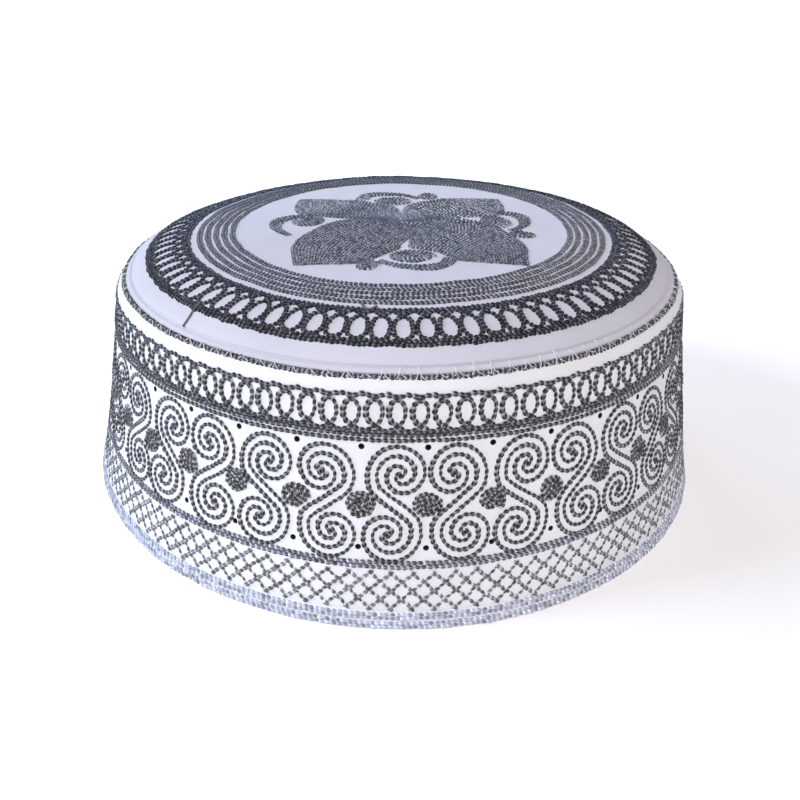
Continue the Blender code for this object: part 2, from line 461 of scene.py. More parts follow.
# The sewing tree lays a stitch at every step of its lines, turned along the line and out of the cloth
def makeSewingTree():
    tree, given, end = newTree("sewChainStitch", "GeometryNodeTree", [
        ("Lines", "Geometry"),
        ("Stitch", "Object"),
        ("Pitch", "Float", 0.00105),
        ("Stitch Size", "Vector", (1.0, 1.0, 1.0)),
        ("Size Spread", "Float", 0.1),
        ("Turn Spread", "Float", 0.15),
        ("Wander", "Float", 0.0001),
        ("Seed", "Int", 1),
        ("Thread", "Material"),
    ], [("Stitches", "Geometry")])

    # Size and tone share a shift of the seed, so the larger stitches are the lighter ones
    def spread(kind, low, high, seedShift):
        inputs = {"Min": low, "Max": high, "Seed": calculate(tree, "ADD", given["Seed"], seedShift)}
        return flow(tree, "FunctionNodeRandomValue", inputs, data_type=kind)

    curve = flow(tree, "GeometryNodeMeshToCurve", {"Mesh": given["Lines"]})
    inputs = {"Curve": curve, "Length": given["Pitch"]}
    steps = flow(tree, "GeometryNodeResampleCurve", inputs, mode="LENGTH")
    points = addNode(tree, "GeometryNodeCurveToPoints", {"Curve": steps}, mode="EVALUATED").outputs
    stray = spread("FLOAT_VECTOR", (-1.0, -1.0, -0.3), (1.0, 1.0, 0.3), seedShift=6)
    inputs = {"Geometry": points["Points"], "Offset": scaled(tree, stray, given["Wander"])}
    placed = flow(tree, "GeometryNodeSetPosition", inputs)
    inputs = {"Rotation": standing(tree), "Vector": points["Tangent"]}
    follow = flow(tree, "FunctionNodeAlignRotationToVector", inputs, axis="Y", pivot_axis="Z")
    turned = calculate(tree, "MULTIPLY", spread("FLOAT", -1.0, 1.0, seedShift=7), given["Turn Spread"])
    inputs = {"Rotation": follow, "Rotate By": flow(tree, "ShaderNodeCombineXYZ", {"Z": turned})}
    turn = flow(tree, "FunctionNodeRotateRotation", inputs, rotation_space="LOCAL")
    growth = calculate(tree, "MULTIPLY", spread("FLOAT", -1.0, 1.0, seedShift=4), given["Size Spread"])
    widths = flow(tree, "ShaderNodeCombineXYZ", {"X": named(tree, "width", "FLOAT"), "Y": 1.0, "Z": 1.0})
    widened = flow(tree, "ShaderNodeVectorMath", {0: given["Stitch Size"], 1: widths}, operation="MULTIPLY")
    inputs = {"Object": given["Stitch"]}
    copies = flow(tree, "GeometryNodeInstanceOnPoints", {
        "Points": placed,
        "Instance": flow(tree, "GeometryNodeObjectInfo", inputs, "Geometry", transform_space="ORIGINAL"),
        "Rotation": turn,
        "Scale": scaled(tree, widened, calculate(tree, "ADD", growth, 1.0)),
    })
    toned = stored(tree, copies, "tone", spread("FLOAT", 0.0, 1.0, seedShift=4), "INSTANCE")
    real = flow(tree, "GeometryNodeRealizeInstances", {"Geometry": toned})
    smooth = flow(tree, "GeometryNodeSetShadeSmooth", {"Geometry": real})
    inputs = {"Geometry": smooth, "Material": given["Thread"]}
    feed(tree, end, {"Stitches": flow(tree, "GeometryNodeSetMaterial", inputs)})
    return tree


# A laid thread is a plain strand along its line, with so many sides
def makeLaidThreadTree(sides=5):
    tree, given, end = newTree("layThread", "GeometryNodeTree", [
        ("Lines", "Geometry"),
        ("Radius", "Float", 0.00015),
        ("Thread", "Material"),
    ], [("Threads", "Geometry")])
    curve = flow(tree, "GeometryNodeMeshToCurve", {"Mesh": given["Lines"]})
    inputs = {"Resolution": sides, "Radius": given["Radius"]}
    section = flow(tree, "GeometryNodeCurvePrimitiveCircle", inputs)
    inputs = {"Curve": curve, "Profile Curve": section, "Fill Caps": True}
    shape = flow(tree, "GeometryNodeCurveToMesh", inputs)
    for name, value in (("shade", 1.0), ("tone", threadLook["middleTone"])):
        shape = stored(tree, shape, name, value, "POINT")
    real = flow(tree, "GeometryNodeRealizeInstances", {"Geometry": shape})
    inputs = {"Geometry": real, "Material": given["Thread"]}
    feed(tree, end, {"Threads": flow(tree, "GeometryNodeSetMaterial", inputs)})
    return tree


eyelets = {
    "count": 36,
    "firstAngle": 4.93,
    "heights": (45.7, 21.2),
    "radius": 0.72,
    "sides": 14,
    "pegLength": 8.0,
    "sharpAngle": 50.0,
}


# The piercing tree cuts a round peg out of the cloth at each point of a guide. The cut faces keep the pegs'
# near-black material, painted shade inside the holes.
def makePiercingTree():
    tree, given, end = newTree("pierceEyelets", "GeometryNodeTree", [
        ("Cloth", "Geometry"),
        ("Eyelet Places", "Object"),
        ("Eyelet Radius", "Float", 0.0007),
        ("Peg Length", "Float", 0.008),
        ("Material", "Material"),
        ("Cut Edge", "Material"),
    ], [("Pierced Cloth", "Geometry")])
    inputs = {"Object": given["Eyelet Places"]}
    places = flow(tree, "GeometryNodeObjectInfo", inputs, "Geometry", transform_space="ORIGINAL")
    inputs = {"Vertices": eyelets["sides"], "Radius": given["Eyelet Radius"], "Depth": given["Peg Length"]}
    peg = flow(tree, "GeometryNodeMeshCylinder", inputs)
    pegs = flow(tree, "GeometryNodeInstanceOnPoints", {
        "Points": flow(tree, "GeometryNodeMeshToPoints", {"Mesh": places}),
        "Instance": flow(tree, "GeometryNodeSetMaterial", {"Geometry": peg, "Material": given["Cut Edge"]}),
        "Rotation": standing(tree),
    })
    realPegs = flow(tree, "GeometryNodeRealizeInstances", {"Geometry": pegs})
    inputs = {"Mesh 1": given["Cloth"], "Mesh 2": realPegs}
    cut = flow(tree, "GeometryNodeMeshBoolean", inputs, operation="DIFFERENCE", solver="EXACT")
    cutFaces = flow(tree, "GeometryNodeMaterialSelection", {"Material": given["Cut Edge"]})
    cotton = flow(tree, "GeometryNodeSetMaterial", {
        "Geometry": flow(tree, "GeometryNodeRealizeInstances", {"Geometry": cut}),
        "Selection": flow(tree, "FunctionNodeBooleanMath", {0: cutFaces}, operation="NOT"),
        "Material": given["Material"],
    })
    feed(tree, end, {"Pierced Cloth": cotton})
    return tree


stitchObject = makeStitch(chainStitch)
sewingTree = makeSewingTree()
laidThreadTree = makeLaidThreadTree()
piercingTree = makePiercingTree()


# A line is a list of (place, facing) pairs from the surfaces above, and a closed one ends at its start.
# Stitches that run down the cap open wider than those that run up it, by the share named lay. Where lay
# swings, this grows from none at the front to all of it on the right, and turns round on the left.
def lineMesh(name, lines, lay=0.0, laySwings=False):
    places, facings, widths, edges = [], [], [], []
    for points, closed in lines:
        first, count = len(places), len(points)
        for k, (place, facing) in enumerate(points):
            after = points[(k + 1) % count if closed else min(k + 1, count - 1)][0]
            before = points[k - 1 if closed else max(k - 1, 0)][0]
            places.append(place * mm)
            facings.extend(facing)
            swing = place.x / math.hypot(place.x, place.y) if laySwings else 1.0
            widths.append(1 - lay * swing * (after - before).normalized().z)
        edges.extend((k, k + 1) for k in range(first, first + count - 1))
        if closed:
            edges.append((first + count - 1, first))
    mesh = bpy.data.meshes.new(name)
    mesh.from_pydata(places, edges, [])
    mesh.attributes.new("facing", "FLOAT_VECTOR", "POINT").data.foreach_set("vector", facings)
    mesh.attributes.new("width", "FLOAT", "POINT").data.foreach_set("value", widths)
    return mesh


# Runs a tree on an object and leaves its result as a plain mesh, with no modifier
def shapeWithTree(item, tree, values):
    modifier = item.modifiers.new("shaping", "NODES")
    modifier.node_group = tree
    for socket in tree.interface.items_tree:
        if socket.in_out == "INPUT" and socket.name in values:
            modifier[socket.identifier] = values[socket.name]
    bpy.context.view_layer.update()
    graph = bpy.context.evaluated_depsgraph_get()
    mesh = bpy.data.meshes.new_from_object(item.evaluated_get(graph))
    mesh.name = item.name
    item.modifiers.remove(modifier)
    item.data = mesh
    return item


def keepPiece(item):
    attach(item, "root")
    print(f"{item.name}: {len(item.data.polygons)} faces")


def finishCloth(item, material, node):
    if material:
        item.data.materials.append(material)
    keepPiece(item)
    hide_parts(node)


usualStitches = {"lay": 0.0, "laySwings": False, "sizeSpread": 0.10, "turnSpread": 0.16, "wander": 0.07}


def sew(name, lines, ownSettings):
    settings = {**usualStitches, **ownSettings}
    width, length, rise = settings["stitchSize"]
    guide = newObject(name, lineMesh(name, lines, settings["lay"], settings["laySwings"]))
    keepPiece(shapeWithTree(guide, sewingTree, {
        "Stitch": stitchObject,
        "Pitch": settings["pitch"] * mm,
        "Stitch Size": (width, length * settings["pitch"], rise),
        "Size Spread": settings["sizeSpread"],
        "Turn Spread": settings["turnSpread"],
        "Wander": settings["wander"] * mm,
        "Seed": settings["seed"],
        "Thread": threadMaterials[settings["thread"]],
    }))


def layThreads(name, lines, settings):
    keepPiece(shapeWithTree(newObject(name, lineMesh(name, lines)), laidThreadTree, {
        "Radius": settings["radius"] * mm,
        "Thread": threadMaterials[settings["thread"]],
    }))


# Cloth walls: an outline of (along, depth) pairs is carried round the cap on its surface
def clothWall(name, outline, surface, steps, closed):
    points, faces = [], []
    rows = len(outline)
    for step in range(steps):
        for along, depth in outline:
            place = surface(360 * step / steps, along, -depth)[0]
            points.append(Vector((place.x, place.y, max(place.z, 0.0))))
    for step in range(steps):
        near, far = step * rows, (step + 1) % steps * rows
        for k in range(rows if closed else rows - 1):
            after = (k + 1) % rows
            faces.append((near + k, far + k, far + after, near + after))
    mesh = closedMesh(name, points, faces)
    mesh.shade_smooth()
    return newObject(name, mesh)


def spaced(start, end, count):
    shares = [k / (count - 1) for k in range(count)]
    return [start * (1 - share) + end * share for share in shares]


# The angles of a pattern's repeats round the cap
def repeats(settings):
    return [settings["firstAngle"] + 360 * k / settings["count"] for k in range(settings["count"])]


# The outer face from the bottom up, a rounded edge, and the inner face back down to another
def wallOutline(settings):
    bottom, top = settings["bottom"], settings["top"]
    roundness, proud = settings["roundness"], settings["proud"]
    bevel = settings["bevelShare"] * roundness
    outer = [(along, -proud) for along in spaced(bottom + roundness, top - roundness, settings["outerRows"])]
    inner = [(along, capShape["clothThickness"])
             for along in spaced(top - bevel, bottom + bevel, settings["innerRows"])]
    topEdge = [(top - bevel, bevel - proud), (top, roundness - proud)]
    bottomEdge = [(bottom, roundness - proud), (bottom + bevel, bevel - proud)]
    return outer + topEdge + inner + bottomEdge


# Profiles are (along, depth) pairs from the crease, the edge or the start
clothPieces = {
    "crown": {"edge": 80.65, "crease": 79.1, "creaseDepth": 0.8, "creaseReach": 0.5, "innerInset": 0.3,
              "creaseProfile": ((-0.25, 0.15), (-0.05, 0.9), (0.10, 1.0), (0.25, 0.4), (0.5, 0.0)),
              "rollProfile": ((-0.35, 0.0), (-0.1, 0.10), (0.0, 0.35)),
              "outerRows": 52, "innerRows": 14, "steps": 288},
    "shoulder": {"start": 0.01, "end": 0.985, "outerInset": 0.06, "rollProfile": ((0.0, 0.35), (0.02, 0.12)),
                 "outerRows": 12, "innerRows": 5, "steps": 288},
    "band": {"bottom": 4.6, "top": 57.6, "roundness": 0.4, "bevelShare": 0.3, "proud": 0.0,
             "outerRows": 34, "innerRows": 16, "steps": 360},
    "hem": {"bottom": 0.0, "top": 4.9, "roundness": 0.5, "bevelShare": 0.3, "proud": 0.3,
            "outerRows": 8, "innerRows": 4, "steps": 288},
}


# The crown has a crease a little inside its edge, where the seam's allowance is turned under it
def makeCrownCloth():
    settings = clothPieces["crown"]
    crease, edge, thickness = settings["crease"], settings["edge"], capShape["clothThickness"]
    outer = [(radius, 0.0)
             for radius in spaced(0.0, crease - settings["creaseReach"], settings["outerRows"])]
    fold = [(crease + along, depth * settings["creaseDepth"]) for along, depth in settings["creaseProfile"]]
    roll = [(edge + along, depth) for along, depth in settings["rollProfile"]]
    inner = [(radius, thickness)
             for radius in spaced(edge - settings["innerInset"], 0.0, settings["innerRows"])]
    item = clothWall("crownCloth", outer + fold + roll + inner, onCrown, settings["steps"], closed=False)
    finishCloth(item, clothMaterials["crown"], "crown")


def makeShoulderCloth():
    settings = clothPieces["shoulder"]
    start, end, thickness = settings["start"], settings["end"], capShape["clothThickness"]
    outer = [(share, 0.0) for share in spaced(start + settings["outerInset"], end, settings["outerRows"])]
    inner = [(share, thickness) for share in spaced(end, start, settings["innerRows"])]
    roll = [(start + along, depth) for along, depth in settings["rollProfile"]]
    item = clothWall("seamWelt", outer + inner + roll, onShoulder, settings["steps"], closed=True)
    finishCloth(item, clothMaterials["seam"], "seam_welt")


def makeBandCloth():
    settings = clothPieces["band"]
    item = clothWall("bandCloth", wallOutline(settings), onBand, settings["steps"], closed=True)
    places = [onBand(angle, height) for height in eyelets["heights"] for angle in repeats(eyelets)]
    guide = newObject("eyeletPlaces", lineMesh("eyeletPlaces", [([place], False) for place in places]))
    shapeWithTree(item, piercingTree, {
        "Eyelet Places": guide,
        "Eyelet Radius": eyelets["radius"] * mm,
        "Peg Length": eyelets["pegLength"] * mm,
        "Material": clothMaterials["band"],
        "Cut Edge": clothMaterials["eyelet"],
    })
    bpy.data.objects.remove(guide)
    item.data.shade_smooth()
    item.data.set_sharp_from_angle(angle=math.radians(eyelets["sharpAngle"]))
    finishCloth(item, None, "side_band")


def makeHemStrip():
    settings = clothPieces["hem"]
    item = clothWall("hemStrip", wallOutline(settings), onBand, settings["steps"], closed=True)
    finishCloth(item, clothMaterials["hem"], "hem_binding")


makeCrownCloth()
makeShoulderCloth()
makeBandCloth()
makeHemStrip()


# The hand that guides the machine wanders a little, as a slow drift of a pattern's points
handDrift = {"size": 9.0, "slice": 1.7, "amount": 0.25, "bandRing": 0.12, "crownRing": 0.20}


def drifted(x, y, amount):
    size = handDrift["size"]
    drift = noise.noise_vector(Vector((x / size, y / size, handDrift["slice"])))
    return x + drift.x * amount, y + drift.y * amount


def bandLine(points, proud=0.0, drift=handDrift["amount"]):
    return [bandPoint(*drifted(x, y, drift), proud) for x, y in points]


# A whole ring, with scallops of its own count and depth. Each ring starts at a place of its own, by the
# golden share, so the stitches of rings side by side don't line up.
def wholeRing(surface, level, drift, count=0, depth=0.0, firstAngle=0.0, proud=0.0, steps=720):
    goldenShare = 0.618
    points = []
    for step in range(steps):
        angle = 360 * (step / steps + level * goldenShare)
        wave = depth * math.cos(math.radians((angle - firstAngle) * count))
        stray = drift * noise.noise(around(angle, handDrift["size"], level))
        points.append(surface(angle, level + wave + stray, proud))
    return points, True


def bandRing(height, *scallops, **more):
    return wholeRing(onBand, height, handDrift["bandRing"], *scallops, **more)


def crownRing(radius, *scallops, **more):
    return wholeRing(onCrown, radius, handDrift["crownRing"], *scallops, **more)


def moved(points, x, y):
    return [(px + x, py + y) for px, py in points]


# A spiral of so many turns that closes in from an oval edge, by the share inward of its size
def closingSpiral(middle, size, turns, steps, inward, firstAngle=0.0):
    points = []
    for share in spaced(0.0, 1.0, steps):
        angle = math.radians(firstAngle + 360 * turns * share)
        reach = 1 - inward * share
        place = size[0] * reach * math.cos(angle), size[1] * reach * math.sin(angle)
        points.append((middle[0] + place[0], middle[1] + place[1]))
    return points


# A smooth way through a few points, at a share from 0 to 1 of their count
def onSpline(points, share):
    reach = share * (len(points) - 1)
    k = min(int(reach), len(points) - 2)
    t = reach - k
    stops = [Vector(points[min(max(k + offset, 0), len(points) - 1)]) for offset in (-1, 0, 1, 2)]
    before, first, second, after = stops
    place = first * 2 + (second - before) * t
    place += (before * 2 - first * 5 + second * 4 - after) * t ** 2
    place += (first * 3 - before - second * 3 + after) * t ** 3
    return place / 2


def bandAcross(angle):
    return math.radians(angle) * capShape["chartRadius"]


# Scrolls: an S of two double spirals, mirrored at every other place round the band
scrolls = {
    "count": 36,
    "firstAngle": -0.07,
    "middleHeight": 31.9,
    "spiralMiddle": (1.4, 7.4),     # of the upper spiral, from the scroll's middle
    "armRadius": 6.68,              # where the arm is level with the spiral's middle
    "armSpacing": 4.65,
    "halfApart": 1.16,              # from the arm's middle to each of its two rows
    "heartRadius": 0.45,
    "leaveAngle": 25.0,             # the diagonal leaves the spiral so far past its side
    "handle": 2.6,
    "armSteps": 44,
    "diagonalShares": (0.08, 0.92, 9),
    "tiltRange": (-2.5, 2.5),
    "sizeRange": (0.975, 1.015),
    "acrossRange": (-0.2, 0.2),
    "upRange": (-0.25, 0.25),
    "pitch": 1.5,
    "stitchSize": (1.0, 1.0, 1.0),
    "lay": 0.20,
    "thread": "grey",
    "seed": 11,
}


def spiralArm(side):
    radius = scrolls["armRadius"] + side * scrolls["halfApart"]
    spacing = scrolls["armSpacing"]
    lastTurn = (radius - scrolls["heartRadius"]) / spacing
    middleX, middleY = scrolls["spiralMiddle"]
    arm = []
    for turn in spaced(-scrolls["leaveAngle"] / 360, lastTurn, scrolls["armSteps"]):
        angle = math.radians(180 - 360 * turn)
        reach = radius - spacing * turn
        arm.append((middleX + reach * math.cos(angle), middleY + reach * math.sin(angle)))
    return arm


# The diagonal is a Bezier curve from the upper spiral's corner to the lower one's, its mirror in the
# scroll's middle. A row lies beside it, square to the curve's pull.
def scrollRow(side):
    leave = math.radians(180 + scrolls["leaveAngle"])
    reach = scrolls["armRadius"] + scrolls["armSpacing"] * scrolls["leaveAngle"] / 360
    corner = Vector(scrolls["spiralMiddle"]) + reach * Vector((math.cos(leave), math.sin(leave)))
    heading = Vector((-math.sin(leave), math.cos(leave)))
    handle = corner + heading * scrolls["handle"]
    diagonal = []
    for share in spaced(*scrolls["diagonalShares"]):
        rest = 1 - share
        weights = (rest ** 3, 3 * share * rest ** 2, -3 * share ** 2 * rest, -share ** 3)
        place = weights[0] * corner + weights[1] * handle + weights[2] * handle + weights[3] * corner
        pull = 3 * (rest ** 2 + share ** 2) * (handle - corner) - 12 * share * rest * handle
        aside = Vector((pull.y, -pull.x)).normalized() * scrolls["halfApart"] * side
        diagonal.append(tuple(place + aside))
    upper = spiralArm(side)[::-1]
    lower = [(-x, -y) for x, y in spiralArm(-side)]
    return upper + diagonal + lower


# One row is sewn down the scroll and the other back up it
def sewScrolls():
    rows = [scrollRow(1), scrollRow(-1)[::-1]]
    luck = random.Random(scrolls["seed"])
    lines = []
    for k, angle in enumerate(repeats(scrolls)):
        mirror = -1 if k % 2 else 1
        tilt = math.radians(luck.uniform(*scrolls["tiltRange"]))
        size = luck.uniform(*scrolls["sizeRange"])
        shiftX, shiftY = luck.uniform(*scrolls["acrossRange"]), luck.uniform(*scrolls["upRange"])
        for row in rows:
            points = []
            for x, y in row:
                turnedX = (x * math.cos(tilt) - y * math.sin(tilt)) * size
                turnedY = (x * math.sin(tilt) + y * math.cos(tilt)) * size
                points.append((turnedX * mirror + shiftX, turnedY + shiftY))
            line = bandLine(moved(points, bandAcross(angle), scrolls["middleHeight"]))
            lines.append((line[::mirror], False))
    sew("scrollStitches", lines, scrolls)


# Dots: close spirals of dark thread between the scrolls
dots = {
    "count": 36,
    "firstAngle": 4.93,
    "height": 31.9,
    "halfSize": (3.3, 2.95),
    "turns": 3.4,
    "steps": 60,
    "inward": 0.9,
    "turnedRange": (0, 360),
    "sizeRange": (0.94, 1.05),
    "proud": 0.08,
    "pitch": 1.25,
    "stitchSize": (0.86, 1.0, 1.0),
    "turnSpread": 0.5,
    "wander": 0.16,
    "thread": "speckled",
    "seed": 23,
}


def sewDots():
    luck = random.Random(dots["seed"])
    lines = []
    for angle in repeats(dots):
        middle = bandAcross(angle), dots["height"]
        turned = luck.uniform(*dots["turnedRange"])
        size = luck.uniform(*dots["sizeRange"])
        halfSize = [half * size for half in dots["halfSize"]]
        spiral = closingSpiral(middle, halfSize, dots["turns"], dots["steps"], dots["inward"], turned)
        lines.append((bandLine(spiral, dots["proud"]), False))
    sew("dotStitches", lines, dots)


# Band loops: one line round the band that crosses itself under every loop, below a scalloped line
bandLoops = {
    "count": 104,
    "firstAngle": 3.62,
    "height": 53.75,
    "path": [(-2.69, -4.30), (-1.60, -4.15), (-0.50, -3.70), (0.42, -3.05), (1.35, -2.05), (1.86, -0.70),
             (1.86, 0.80), (1.35, 2.20), (0.20, 3.05), (-1.10, 2.45), (-1.76, 1.10), (-1.84, -0.40),
             (-1.42, -1.85), (-0.55, -2.70), (0.42, -3.25), (1.30, -3.85), (2.20, -4.22), (2.69, -4.30)],
    "topHeight": 57.6,
    "topScallop": -0.28,
    "pathSteps": 40,
    "sizeRange": (0.96, 1.03),
    "proud": 0.05,
    "pitch": 1.5,
    "stitchSize": (1.08, 1.0, 1.0),
    "lay": 0.20,
    "thread": "grey",
    "seed": 31,
}


# A path's points are given for one loop, and its last is the next loop's first
def smoothPath(settings):
    shares = spaced(0.0, 1.0, settings["pathSteps"] + 1)[:-1]
    return [tuple(onSpline(settings["path"], share)) for share in shares]


# A loop grows or shrinks away from the level of its path's start
def grown(level, settings, size):
    start = settings["path"][0][1]
    return start + (level - start) * size


def sewBandLoops():
    settings = bandLoops
    luck = random.Random(settings["seed"])
    looping = []
    for angle in repeats(settings):
        size = luck.uniform(*settings["sizeRange"])
        points = [(x, grown(y, settings, size)) for x, y in smoothPath(settings)]
        looping += bandLine(moved(points, bandAcross(angle), settings["height"]), settings["proud"])
    top = bandRing(settings["topHeight"], settings["count"], settings["topScallop"], settings["firstAngle"])
    sew("bandLoopStitches", [(looping, True), top], settings)


bandBorders = {
    "upper": {"heights": (49.30, 48.55), "pitch": 1.45, "stitchSize": (0.98, 1.0, 0.95), "thread": "soft",
              "seed": 41},
    "under": {"heights": (47.30,), "pitch": 1.5, "stitchSize": (0.95, 1.0, 0.90), "thread": "grey",
              "seed": 43},
    "lower": {"heights": (17.45, 16.35), "pitch": 1.5, "stitchSize": (1.06, 1.0, 0.90), "thread": "blueGrey",
              "seed": 47},
}


def sewBandBorders():
    for name, settings in bandBorders.items():
        lines = [bandRing(height) for height in settings["heights"]]
        sew(name + "BorderStitches", lines, settings)


# Lattice: diagonals that cross to make two rows of diamonds
lattice = {
    "count": 114,
    "firstAngle": 3.14,
    "topHeight": 14.7,
    "bottomHeight": 5.5,
    "spacings": 2,                  # a diagonal reaches the second tip along
    "steps": 9,
    "acrossRange": (-0.12, 0.12),
    "drift": 0.4,
    "pitch": 1.5,
    "stitchSize": (0.80, 1.0, 0.85),
    "lay": 0.80,
    "laySwings": True,
    "wander": 0.14,
    "thread": "light",
    "seed": 53,
}


def sewLattice():
    top, bottom = lattice["topHeight"], lattice["bottomHeight"]
    luck = random.Random(lattice["seed"])
    lines = []
    for start in repeats(lattice):
        for side in (-1, 1):
            end = start + side * lattice["spacings"] * 360 / lattice["count"]
            points = []
            for share in spaced(0.0, 1.0, lattice["steps"]):
                across = bandAcross(start + (end - start) * share) + luck.uniform(*lattice["acrossRange"])
                points.append((across, top + (bottom - top) * share))
            lines.append((bandLine(points, drift=lattice["drift"])[::side], False))
    sew("latticeStitches", lines, lattice)


hemRows = {
    "heights": (4.10, 3.15, 1.85, 0.85),
    "proud": 0.30,
    "pitch": 1.40,
    "stitchSize": (0.84, 1.0, 0.80),
    "wander": 0.12,
    "thread": "pale",
    "seed": 59,
}


def sewHemRows():
    lines = [bandRing(height, proud=hemRows["proud"]) for height in hemRows["heights"]]
    sew("hemStitches", lines, hemRows)


# Crown rings: five lines of two rows each
crownRings = {
    "firstRadius": 49.6,
    "lineSpacing": 2.35,
    "lineCount": 5,
    "rowApart": 0.76,
    "pitch": 1.25,
    "stitchSize": (0.88, 1.0, 0.95),
    "thread": "soft",
    "seed": 61,
}


def sewCrownRings():
    first, spacing, apart = (crownRings[name] for name in ("firstRadius", "lineSpacing", "rowApart"))
    rings = [crownRing(first + line * spacing + row * apart)
             for line in range(crownRings["lineCount"]) for row in range(2)]
    sew("crownRingStitches", rings, crownRings)


# Crown loops: the same looping line in darker thread, its crossings inwards, with a dense outer edge
crownLoops = {
    "count": 84,
    "firstAngle": 0.99,
    "radius": 70.0,                 # where a millimetre across the path is measured
    "path": [(-2.62, 63.10), (-1.75, 63.60), (-0.90, 64.50), (-0.10, 65.20), (0.80, 65.65), (1.60, 66.50),
             (2.10, 68.00), (2.25, 69.80), (2.00, 71.40), (1.25, 72.55), (0.00, 73.00), (-1.25, 72.55),
             (-2.00, 71.40), (-2.25, 69.80), (-2.10, 68.00), (-1.60, 66.50), (-0.80, 65.65), (0.10, 65.20),
             (0.90, 64.50), (1.75, 63.60), (2.62, 63.10)],
    "edges": [
        {"radius": 62.55, "scallop": 0.10, "proud": 0.0},
        {"radius": 63.45, "scallop": 0.40, "proud": 0.04},
        {"radius": 73.45, "scallop": 0.15, "proud": 0.08},
        {"radius": 74.30, "scallop": 0.12, "proud": 0.0},
    ],
    "pathSteps": 40,
    "angleRange": (-0.12, 0.12),
    "sizeRange": (0.97, 1.02),
    "proud": 0.10,
    "pitch": 1.25,
    "stitchSize": (1.12, 1.0, 1.0),
    "turnSpread": 0.25,
    "wander": 0.12,
    "thread": "dark",
    "seed": 67,
}


def sewCrownLoops():
    settings = crownLoops
    luck = random.Random(settings["seed"])
    looping = []
    for middle in repeats(settings):
        angle = middle + luck.uniform(*settings["angleRange"])
        size = luck.uniform(*settings["sizeRange"])
        for across, radius in smoothPath(settings):
            aside = math.degrees(across / settings["radius"])
            looping.append(onCrown(angle + aside, grown(radius, settings, size), settings["proud"]))
    count, first = settings["count"], settings["firstAngle"]
    edges = [crownRing(edge["radius"], count, edge["scallop"], first, edge["proud"])
             for edge in settings["edges"]]
    sew("crownLoopStitches", [(looping, True), *edges], settings)


# Crown motif: four petals filled with rows from the middle outwards, and four curls between them
crownMotif = {
    "petals": [
        {"inner": [(1.4, -0.5), (2.2, -6.0), (2.8, -12.5), (2.6, -18.0), (3.2, -21.6), (8.0, -23.4),
                   (12.2, -27.4), (14.6, -31.8)],
         "side": [(0.6, 2.2), (8.0, 4.6), (15.0, 5.4), (20.5, 3.6), (26.5, 0.2), (31.4, -9.0), (34.8, -21.0),
                  (33.4, -34.6)]},
        {"inner": [(0.3, -0.5), (1.2, -6.0), (1.9, -12.5), (-0.2, -18.0), (-0.4, -21.8), (-3.6, -25.4),
                   (-6.6, -29.4), (-11.4, -33.4)],
         "side": [(-0.6, 2.2), (-7.5, 4.6), (-14.0, 5.2), (-18.0, 3.4), (-22.8, -1.4), (-27.6, -11.0),
                  (-30.0, -22.0), (-27.8, -35.4)]},
        {"inner": [(0.6, 2.6), (0.6, 7.0), (0.5, 12.5), (1.0, 18.0), (3.0, 22.6), (6.0, 25.0), (9.5, 27.0),
                   (13.0, 28.6)],
         "side": [(1.0, 3.0), (8.0, 5.2), (15.0, 6.0), (18.5, 7.4), (23.5, 8.2), (29.6, 9.6), (32.4, 18.0),
                  (31.4, 28.6)]},
        {"inner": [(-0.3, 2.6), (-0.3, 7.0), (-0.5, 12.5), (-1.6, 18.0), (-4.5, 21.2), (-8.0, 22.3),
                   (-11.0, 23.8), (-13.5, 26.0)],
         "side": [(-1.0, 3.0), (-8.0, 5.2), (-14.5, 5.9), (-18.5, 7.0), (-24.0, 8.0), (-31.0, 9.4),
                  (-34.2, 17.0), (-33.4, 26.2)]},
    ],
    "petalRows": 25,
    "petalSteps": 24,
    "rowStarts": (0.0, 0.12, 0.05, 0.12),     # rows start in turn, as they have room beside each other
    "curls": [                      # the left one is the right one's mirror image, lower and with no blob
        {"turn": 0, "mirror": 1, "bandShift": 0.0, "discShift": 0.0, "hasBlob": True},
        {"turn": 90, "mirror": 1, "bandShift": 0.0, "discShift": 0.0, "hasBlob": True},
        {"turn": 180, "mirror": 1, "bandShift": 0.0, "discShift": 0.0, "hasBlob": True},
        {"turn": 90, "mirror": -1, "bandShift": -6.5, "discShift": 0.5, "hasBlob": False},
    ],
    "discMiddle": (2.9, -28.7),
    "discSize": (6.1, 4.9),
    "discTurns": 5.0,
    "bandOuter": [(15.0, -31.0), (13.2, -35.8), (9.0, -38.8), (4.0, -38.9), (-1.0, -37.0), (-5.4, -33.2)],
    "bandInner": [(11.6, -30.2), (10.9, -33.4), (8.0, -35.6), (3.4, -36.1), (-1.2, -34.9), (-4.6, -32.0)],
    "bandRows": 4,
    "bandSteps": 18,
    "blobMiddle": (-8.7, -35.6),
    "blobSize": (3.1, 4.0),
    "blobTurns": 3.4,
    "turnSteps": 18,
    "inward": 0.93,
    "rearShare": 0.08,              # drawn in so much at the rear
    "rearFrom": 30.0,
    "proud": 0.03,
    "drift": 0.5,
    "pitch": 1.25,
    "stitchSize": (0.84, 1.0, 0.95),
    "turnSpread": 0.30,
    "wander": 0.12,
    "thread": "filling",
    "seed": 71,
}


def rowBetween(inner, outer, share, start, steps):
    return [tuple(onSpline(inner, along).lerp(onSpline(outer, along), share))
            for along in spaced(start, 1.0, steps)]


def spiralDisc(middle, size, turns):
    return closingSpiral(middle, size, turns, int(turns * crownMotif["turnSteps"]), crownMotif["inward"])


